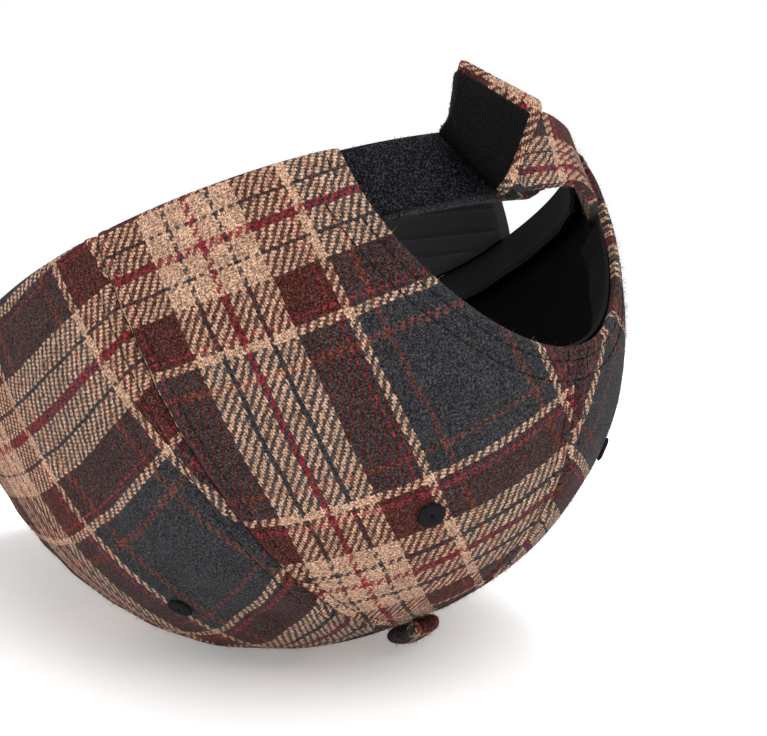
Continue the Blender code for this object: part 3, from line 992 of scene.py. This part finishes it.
class CAP_OT_stitches(bpy.types.Operator):
    """Runs black topstitches beside the seams, round the half-moon and along the peak"""

    bl_idname = "wool_cap.stitches"
    bl_label = "Stitches"

    def execute(self, context):
        look = settings()
        shape, faces = stitch_shape(look.stitch_length, look.thread_thickness / 2)
        groups = (
            ("seam_stitches", self.seams),
            ("half_moon_stitches", self.half_moon),
            ("peak_stitches", self.peak),
        )
        for name, runs in groups:
            spots, along, outward = (np.concatenate(values) for values in zip(*runs()))
            joined_copies(name, shape, faces, spots, along, outward, black_thread())
        return {"FINISHED"}

    def on_crown(self, turn, climb, pitch):
        path = crown(turn, climb, crown_relief(turn, climb) + 0.02 * MM)
        spots, along, share = spaced(path, pitch)
        turn, climb = between(share, np.linspace(0, 1, len(turn)), np.stack([turn, climb], axis=-1)).T
        return spots, along, normal_of(crown, turn, climb)

    def seams(self):
        """A run on each side of a seam, with the two centre seams shared by the two hands."""
        runs = []
        above_opening = float(climb_at(OPENING_HEIGHT + 0.4 * MM))
        for i, seam in enumerate(SEAM_LENGTHS):
            low, count = (0.02, 260) if i else (above_opening, 200)
            climb = np.linspace(low, SEAM_STITCHES_END, count)
            for hand in (1, -1):
                for side in (1, -1):
                    if (i, side) in ((0, -1), (3, 1)):
                        continue
                    shift = side * SEAM_STITCH_ASIDE / np.maximum(ring_share(climb), 0.12)
                    runs.append(self.on_crown(hand * turn_at(seam + shift), climb, SEAM_STITCH_PITCH))
        return runs

    def half_moon(self):
        runs = []
        angle = np.linspace(0.03, math.pi - 0.03, 300)
        for margin in HEM_STITCHES:
            turn = -(OPENING_TURN + margin / HALF_WIDTH) * np.cos(angle)
            climb = climb_at((OPENING_HEIGHT + margin) * np.sin(angle))
            runs.append(self.on_crown(turn, climb, HEM_STITCH_PITCH))
        return runs

    def peak(self):
        runs = []
        u = np.linspace(0.02, 0.98, 500)
        below = PEAK_THICKNESS + PEAK_GAP + UNDERSIDE_THICKNESS + 0.05 * MM
        for row in range(PEAK_ROWS):
            v = 1 - (PEAK_ROW_START + PEAK_ROW_SPACING * row) / np.hypot(*peak_reach(u))
            shown = v > 0.05
            parts = np.split(np.arange(len(u)), np.where(np.diff(shown.astype(int)) != 0)[0] + 1)
            parts = [part for part in parts if shown[part[0]] and len(part) >= 8]
            for sunk, side in ((0.2 * MM, 1), (below, -1)):
                for part in parts:
                    normal = normal_of(peak_face, u[part], v[part])
                    path = peak_face(u[part], v[part]) - normal * sunk
                    spots, along, share = spaced(path, PEAK_STITCH_PITCH)
                    runs.append((spots, along, side * between(share, np.linspace(0, 1, len(part)), normal)))
        return runs


def fibres(name, points, outward, places, finish, count, length, width, seed, lift=(0.15, 0.9), curl=0.5):
    """Loose bent fibres on a surface, each with the cloth place of its root."""
    draw = np.random.default_rng(seed)
    root = draw.integers(0, len(points), count)
    base = points[root]
    normal = outward[root]
    sideways = unit(np.cross(normal, unit(draw.normal(size=(count, 3)))))
    lean = draw.uniform(*lift, count)[:, None]
    direction = unit(sideways * (1 - lean) + normal * lean)
    span = length * draw.uniform(0.35, 1.0, count)[:, None] ** 1.5
    bend = unit(draw.normal(size=(count, 3))) * curl
    middle = base + direction * span * 0.5
    tip = middle + unit(direction + bend) * span * 0.5
    across = unit(np.cross(direction, unit(draw.normal(size=(count, 3))))) * width / 2
    sunk = base - normal * FIBRE_ROOT_DEPTH
    corners = [sunk - across, sunk + across, middle + across * 0.8, middle - across * 0.8, tip]
    start = np.arange(count)[:, None] * 5
    faces = (start + (0, 1, 2, 3)).tolist() + (start + (3, 2, 4)).tolist()
    piece = joined(name, above_floor(np.stack(corners, axis=1)), faces, finish)
    lay_cloth(piece.data, np.repeat(places[root], 5, axis=0))


def add_pile(piece, name, finish, count, length, seed):
    """Stands short stiff fibres on a pad's points."""
    mesh = piece.data
    used, first = np.unique(read(mesh.loops, "vertex_index", 1, np.int32), return_index=True)
    points = read(mesh.vertices, "co", 3)[used]
    normals = read(mesh.vertices, "normal", 3)[used]
    places = read(mesh.uv_layers.active.data, "uv", 2)[first]
    fibres(name, points, normals, places, finish, count, length, PILE_WIDTH, seed, (0.25, 0.95), 1.1)


class CAP_OT_nap(bpy.types.Operator):
    """Lets loose wool fibres stand on the panels, straps, peak and button"""

    bl_idname = "wool_cap.nap"
    bl_label = "Nap"

    def execute(self, context):
        length = settings().nap_length
        for seed, (name, count) in enumerate(NAP_COUNTS.items()):
            spread = self.spread(bpy.data.objects[name], count * 2, 100 + seed)
            fibres(name + "_nap", *spread, plaid_wool(), count, length, NAP_WIDTH, 40 + seed)
        return {"FINISHED"}

    def spread(self, piece, count, seed):
        """Points spread evenly over the outer faces, with their normals and cloth places."""
        mesh = piece.data
        mesh.calc_loop_triangles()
        points = read(mesh.vertices, "co", 3)[read(mesh.loop_triangles, "vertices", 3, np.int32)]
        places = read(mesh.uv_layers.active.data, "uv", 2)[read(mesh.loop_triangles, "loops", 3, np.int32)]
        normal = np.cross(points[:, 1] - points[:, 0], points[:, 2] - points[:, 0])
        area = np.linalg.norm(normal, axis=1)
        normal = unit(normal)
        centre = points.mean(axis=1)
        if piece.name.startswith("panel"):
            heart = to_world(np.array([0, -0.004, 0.03]))
            area = area * (np.einsum("ij,ij->i", normal, centre - heart) > 0) * (centre[:, 2] > 1.5 * MM)
        draw = np.random.default_rng(seed)
        chosen = draw.choice(len(area), count, p=area / area.sum())
        shares = draw.dirichlet((1, 1, 1), count)
        inside = [np.einsum("ij,ijk->ik", shares, corners[chosen]) for corners in (points, places)]
        return inside[0], normal[chosen], inside[1]


# Finishes


class Finish:
    """A material and short ways to add and join its nodes."""

    def __init__(self, name, roughness, base=(0.5, 0.5, 0.5), specular=None):
        self.material = bpy.data.materials.new(name)
        self.material.use_nodes = True
        self.tree = self.material.node_tree
        self.shader = self.tree.nodes["Principled BSDF"]
        self.shader.inputs["Roughness"].default_value = roughness
        self.shader.inputs["Base Color"].default_value = (*base, 1)
        if specular is not None:
            self.shader.inputs["Specular IOR Level"].default_value = specular

    def join(self, socket, value):
        """Links a socket to another one, or sets its value."""
        if isinstance(value, bpy.types.NodeSocket):
            self.tree.links.new(value, socket)
        else:
            socket.default_value = value

    def node(self, kind, **sockets):
        made = self.tree.nodes.new("ShaderNode" + kind)
        for name, value in sockets.items():
            self.join(made.inputs[name.replace("_", " ")], value)
        return made

    def math(self, operation, *values):
        made = self.node("Math")
        made.operation = operation
        for socket, value in zip(made.inputs, values):
            self.join(socket, value)
        return made.outputs[0]

    def noise(self, place, scale, detail=3.0, roughness=0.6):
        made = self.node("TexNoise", Vector=place, Scale=scale, Detail=detail, Roughness=roughness)
        return made.outputs["Fac"]

    def mix(self, share, first, second, blend="MIX"):
        made = self.tree.nodes.new("ShaderNodeMix")
        made.data_type = "RGBA"
        made.blend_type = blend
        for number, value in ((0, share), (6, first), (7, second)):
            self.join(made.inputs[number], value)
        return made.outputs[2]

    def shaded(self, colour, shade):
        return self.mix(1.0, colour, shade, "MULTIPLY")

    def stripes(self, share, stops):
        """Hard-edged bands of colour along a share."""
        made = self.node("ValToRGB", Fac=share)
        ramp = made.color_ramp
        ramp.interpolation = "CONSTANT"
        while len(ramp.elements) < len(stops):
            ramp.elements.new(0.5)
        for element, (place, colour) in zip(ramp.elements, stops):
            element.position = place
            element.color = (*colour, 1)
        return made.outputs[0]

    def spread(self, value, low, high, new_low, new_high):
        """Maps a range to another one, without going past it."""
        ends = {"From_Min": low, "From_Max": high, "To_Min": new_low, "To_Max": new_high}
        return self.node("MapRange", Value=value, **ends).outputs[0]

    def object_place(self):
        return self.node("TexCoord").outputs["Object"]

    def cloth_place(self):
        """The cloth places in mm."""
        made = self.node("UVMap")
        made.uv_map = "cloth"
        split = self.node("SeparateXYZ", Vector=made.outputs[0])
        return [self.math("MULTIPLY", split.outputs[i], 1000.0) for i in (0, 1)]

    def done(self, slot, colour, height, strength, distance):
        """Joins the colour and the bumps to the shader, and gives the material with its slot."""
        self.join(self.shader.inputs["Base Color"], colour)
        bump = self.node("Bump", Height=height, Strength=strength, Distance=distance)
        self.join(self.shader.inputs["Normal"], bump.outputs[0])
        return self.material, slot


@functools.cache
def plaid_wool():
    """Brushed wool in a two-and-two twill: each thread's colour is from the sett, warp by u, weft by v."""
    look = settings()
    finish = Finish("plaid_wool", 0.95, specular=0.05)
    finish.shader.inputs["Sheen Weight"].default_value = 0.02
    finish.shader.inputs["Sheen Roughness"].default_value = 0.6
    place = finish.object_place()
    # The threads wander a little, both finely and slowly
    wobble = finish.math("SUBTRACT", finish.noise(place, 700.0), 0.5)
    drift = finish.math("SUBTRACT", finish.noise(place, 55.0, 2.0), 0.5)
    starts = [0.0] + [end / HALF_SETT for end, _ in SETT[:-1]]
    stops = [(start, getattr(look, name)) for start, (_, name) in zip(starts, SETT)]
    threads, counts, across = [], [], []
    u, v = finish.cloth_place()
    for along, pitch, sign in ((u, look.warp_pitch / MM, 1), (v, look.weft_pitch / MM, -1)):
        moved = finish.math("ADD", along, finish.math("MULTIPLY", wobble, 0.9 * sign))
        moved = finish.math("ADD", moved, finish.math("MULTIPLY", drift, 1.6 * sign))
        count = finish.math("DIVIDE", moved, pitch)
        whole = finish.math("FLOOR", count)
        spot = finish.math("PINGPONG", finish.math("MULTIPLY", whole, pitch), HALF_SETT)
        threads.append(finish.stripes(finish.math("DIVIDE", spot, HALF_SETT), stops))
        counts.append(whole)
        side = finish.math("MULTIPLY", finish.math("SUBTRACT", finish.math("FRACT", count), 0.5), 2.0)
        across.append(finish.math("SUBTRACT", 1.0, finish.math("MULTIPLY", side, side)))
    # The weft lies over two threads in every four, one further on each pick
    step = finish.math("ADD", finish.math("SUBTRACT", counts[1], counts[0]), 0.25)
    weft_over = finish.math("LESS_THAN", finish.math("FRACT", finish.math("DIVIDE", step, 4.0)), 0.5)
    colour = finish.mix(weft_over, *threads)
    colour = finish.mix(look.felting, colour, finish.mix(0.5, *threads))
    roundness = finish.mix(weft_over, *across)
    # Painted shade and highlight: each thread is darkened towards its edges and lightened a little along its
    # crest, as light falls on a round yarn
    colour = finish.shaded(colour, finish.spread(roundness, 0.0, 1.0, 0.5, 1.15))
    # The brushed surface: grain, pale hairs and slow unevenness
    grain = finish.noise(place, 1900.0, 2.0, 0.8)
    colour = finish.shaded(colour, finish.spread(grain, 0.39, 0.64, 0.35, 1.75))
    hairs = finish.noise(place, 2600.0, 2.0, 0.6)
    colour = finish.mix(finish.spread(hairs, 0.53, 0.67, 0.0, 0.22), colour, (*look.fleck, 1))
    colour = finish.shaded(colour, finish.spread(finish.noise(place, 160.0), 0.3, 0.7, 0.85, 1.15))
    fuzz = finish.math("MULTIPLY", grain, 1.3)
    height = finish.math("ADD", finish.math("MULTIPLY", roundness, 0.35), fuzz)
    return finish.done("plaid_wool", colour, height, 0.6, 0.4 * MM)


def black_cloth(name, colour, roughness, rib, slope, strength):
    """Black cloth with fine ribs at a slope across its own places."""
    finish = Finish(name, roughness, colour, 0.06)
    u, v = finish.cloth_place()
    along = finish.math("ADD", finish.math("MULTIPLY", u, slope[0]), finish.math("MULTIPLY", v, slope[1]))
    ribs = finish.math("SINE", finish.math("MULTIPLY", along, TAU / rib))
    grain = finish.noise(finish.object_place(), 2400.0, 3.0, 0.7)
    height = finish.math("ADD", finish.math("MULTIPLY", ribs, 0.25), grain)
    # Painted shade and highlight: the colour is darker in the ribs' furrows and lighter on their crests; the
    # grain in the same height adds random tone
    shade = finish.spread(height, 0.1, 0.9, 0.45, 1.6)
    return finish.done("black_twill", finish.shaded((*colour, 1), shade), height, strength, 0.2 * MM)


@functools.cache
def black_twill():
    return black_cloth("black_twill", settings().lining, 0.9, 0.9, (0.7, 0.7), 0.35)


@functools.cache
def ribbed_tape():
    return black_cloth("black_ribbed_tape", settings().tape, 0.85, 0.8, (0.55, 0.85), 0.6)


@functools.cache
def underside_twill():
    return black_cloth("black_underside_twill", settings().underside, 0.9, 0.7, (0.7, 0.7), 0.35)


def black_pile(name, darkness, glint):
    """Hook or loop pile: a rough black mat with small painted glints."""
    colour = [darkness * part for part in settings().pile]
    finish = Finish(name, 0.6, colour, 0.06)
    curls = finish.noise(finish.object_place(), 2300.0, 2.0, 0.7)
    # Painted highlight: the curls noise multiplies the colour up to glint times in small spots, which stand
    # for glints of light on the pile
    shade = finish.spread(curls, 0.48, 0.66, 0.15, glint)
    return finish.done("black_pile", finish.shaded((*colour, 1), shade), curls, 0.9, 0.6 * MM)


@functools.cache
def loop_pile():
    return black_pile("black_loop_pile", 1.0, 14.0)


@functools.cache
def hook_pile():
    return black_pile("black_hook_pile", 0.5, 3.0)


@functools.cache
def black_thread():
    """Spun black thread with a fine twist."""
    colour = settings().thread
    finish = Finish("black_thread", 0.8, colour, 0.08)
    twist = finish.noise(finish.object_place(), 3200.0, 2.0)
    shade = finish.spread(twist, 0.0, 1.0, 0.5, 1.8)
    return finish.done("black_thread", finish.shaded((*colour, 1), shade), twist, 0.5, 0.15 * MM)


# Stage

# The camera's turn as an axis times an angle, its shift, and its focal length as a share of the width
CAMERA_TURN = (-0.3870, 1.9708, 1.4017)
CAMERA_SHIFT = (-0.0339073, -0.0234785, 0.2724749)
CAMERA_FOCUS = 950 / 767


class CAP_OT_stage(bpy.types.Operator):
    """Sets the pale floor, the soft light and the camera"""

    bl_idname = "wool_cap.stage"
    bl_label = "Stage"

    def execute(self, context):
        look = settings()
        self.camera()
        self.floor(look)
        self.surround(look)
        self.lamp("key_light", (-0.35, -1.1, 1.2), 1.0, look.key)
        self.lamp("top_light", (0.1, 0.15, 1.6), 1.3, look.top)
        self.lamp("side_light", (-1.4, -0.3, 0.9), 0.9, look.side)
        return {"FINISHED"}

    def camera(self):
        """Stands at the photograph's angle to the cap."""
        turn = Vector(CAMERA_TURN)
        facing = np.array(Quaternion(turn.normalized(), turn.length).to_matrix())
        data = bpy.data.cameras.new("photo_camera")
        data.sensor_width = 36
        data.lens = CAMERA_FOCUS * data.sensor_width
        data.clip_start = 0.01
        camera = bpy.data.objects.new("photo_camera", data)
        bpy.context.scene.collection.objects.link(camera)
        turned = TURN_OVER @ facing.T @ np.diag((1.0, -1.0, -1.0))
        spot = to_world(-facing.T @ np.array(CAMERA_SHIFT))
        camera.matrix_world = Matrix.Translation(Vector(spot)) @ Matrix(turned.tolist()).to_4x4()
        bpy.context.scene.camera = camera

    def floor(self, look):
        floor = primitive(bpy.ops.mesh.primitive_plane_add, size=6, location=(0, 0, -0.2 * MM))
        floor.name = "studio_floor"
        finish = Finish("studio_floor", 0.9, look.floor)
        finish.shader.inputs["Emission Color"].default_value = (1, 1, 1, 1)
        finish.shader.inputs["Emission Strength"].default_value = look.floor_glow
        floor.data.materials.append(finish.material)

    def surround(self, look):
        """Even white light, and a plain white background behind the floor."""
        scene = bpy.context.scene
        scene.world = scene.world or bpy.data.worlds.new("studio")
        scene.view_settings.view_transform = "Standard"
        scene.world.use_nodes = True
        nodes, links = scene.world.node_tree.nodes, scene.world.node_tree.links
        nodes["Background"].inputs["Color"].default_value = (1, 1, 1, 1)
        strength = nodes.new("ShaderNodeMapRange")
        strength.inputs["To Min"].default_value = look.surround
        strength.inputs["To Max"].default_value = 1.0
        links.new(nodes.new("ShaderNodeLightPath").outputs["Is Camera Ray"], strength.inputs["Value"])
        links.new(strength.outputs[0], nodes["Background"].inputs["Strength"])

    def lamp(self, name, spot, size, power):
        data = bpy.data.lights.new(name, "AREA")
        data.size = size
        data.energy = power
        lamp = bpy.data.objects.new(name, data)
        lamp.location = spot
        towards_cap = Vector((0, 0, 0.06)) - Vector(spot)
        lamp.rotation_euler = towards_cap.to_track_quat("-Z", "Y").to_euler()
        bpy.context.scene.collection.objects.link(lamp)


# Settings and sidebar


class WoolCapSettings(bpy.types.PropertyGroup):
    """Colours and sizes that a user would change."""

    beige: bpy.props.FloatVectorProperty(
        name="Beige", description="Light stripes", subtype="COLOR", default=(0.365, 0.220, 0.148)
    )
    brown: bpy.props.FloatVectorProperty(
        name="Brown", description="Dark brown ground", subtype="COLOR", default=(0.046, 0.0092, 0.0060)
    )
    grey: bpy.props.FloatVectorProperty(
        name="Grey", description="Charcoal blocks", subtype="COLOR", default=(0.0185, 0.0190, 0.0222)
    )
    red: bpy.props.FloatVectorProperty(
        name="Red", description="Fine red lines", subtype="COLOR", default=(0.165, 0.010, 0.018)
    )
    rust: bpy.props.FloatVectorProperty(
        name="Rust", description="Lines in the charcoal", subtype="COLOR", default=(0.085, 0.024, 0.017)
    )
    fleck: bpy.props.FloatVectorProperty(
        name="Fleck", description="Pale hairs", subtype="COLOR", default=(0.25, 0.21, 0.20)
    )
    lining: bpy.props.FloatVectorProperty(
        name="Lining", description="Black twill", subtype="COLOR", default=(0.0032, 0.0032, 0.0036)
    )
    tape: bpy.props.FloatVectorProperty(
        name="Tape", description="Inner tapes", subtype="COLOR", default=(0.0055, 0.0055, 0.006)
    )
    underside: bpy.props.FloatVectorProperty(
        name="Underside", description="Below the peak", subtype="COLOR", default=(0.013, 0.013, 0.0145)
    )
    pile: bpy.props.FloatVectorProperty(
        name="Pile", description="Hook and loop", subtype="COLOR", default=(0.0022, 0.0022, 0.003)
    )
    thread: bpy.props.FloatVectorProperty(
        name="Thread", description="Stitches and eyelets", subtype="COLOR", default=(0.006, 0.006, 0.007)
    )
    floor: bpy.props.FloatVectorProperty(
        name="Floor", description="Studio floor", subtype="COLOR", default=(0.97, 0.97, 0.97)
    )
    warp_pitch: bpy.props.FloatProperty(
        name="Warp pitch", description="Spacing of the warp threads", unit="LENGTH", default=0.00047
    )
    weft_pitch: bpy.props.FloatProperty(
        name="Weft pitch", description="Spacing of the weft threads", unit="LENGTH", default=0.000575
    )
    nap_length: bpy.props.FloatProperty(
        name="Nap length", description="Longest loose fibre", unit="LENGTH", default=0.002
    )
    stitch_length: bpy.props.FloatProperty(
        name="Stitch length", description="Length of one topstitch", unit="LENGTH", default=0.0023
    )
    thread_thickness: bpy.props.FloatProperty(
        name="Thread thickness", description="Thickness of the thread", unit="LENGTH", default=0.00034
    )
    felting: bpy.props.FloatProperty(
        name="Felting", description="How far brushing blends the threads", subtype="FACTOR", default=0.15
    )
    floor_glow: bpy.props.FloatProperty(
        name="Floor glow", description="How far the white floor lights itself", default=0.24
    )
    surround: bpy.props.FloatProperty(
        name="Surround", description="Strength of the even white light", default=0.74
    )
    key: bpy.props.FloatProperty(
        name="Key light", description="Power of the lamp", unit="POWER", default=14.0
    )
    top: bpy.props.FloatProperty(
        name="Top light", description="Power of the lamp", unit="POWER", default=24.0
    )
    side: bpy.props.FloatProperty(
        name="Side light", description="Power of the lamp", unit="POWER", default=3.0
    )


OPERATORS = (
    CAP_OT_panels,
    CAP_OT_inside,
    CAP_OT_peak,
    CAP_OT_straps,
    CAP_OT_button,
    CAP_OT_eyelets,
    CAP_OT_stitches,
    CAP_OT_nap,
    CAP_OT_stage,
)


class CAP_PT_sidebar(bpy.types.Panel):
    """Lists the cap's settings and steps"""

    bl_idname = "CAP_PT_sidebar"
    bl_label = "Wool Cap"
    bl_space_type = "VIEW_3D"
    bl_region_type = "UI"
    bl_category = "Wool Cap"

    def draw(self, context):
        for name in WoolCapSettings.__annotations__:
            self.layout.prop(context.scene.wool_cap, name)
        for operator in OPERATORS:
            self.layout.operator(operator.bl_idname)


CLASSES = (WoolCapSettings, *OPERATORS, CAP_PT_sidebar)


def register():
    for each in CLASSES:
        bpy.utils.register_class(each)
    bpy.types.Scene.wool_cap = bpy.props.PointerProperty(type=WoolCapSettings)


def unregister():
    del bpy.types.Scene.wool_cap
    for each in reversed(CLASSES):
        bpy.utils.unregister_class(each)


def main():
    register()
    bpy.ops.wool_cap.panels()
    bpy.ops.wool_cap.inside()
    bpy.ops.wool_cap.peak()
    bpy.ops.wool_cap.straps()
    bpy.ops.wool_cap.button()
    bpy.ops.wool_cap.eyelets()
    bpy.ops.wool_cap.stitches()
    bpy.ops.wool_cap.nap()
    bpy.ops.wool_cap.stage()


if __name__ == "__main__":
    main()
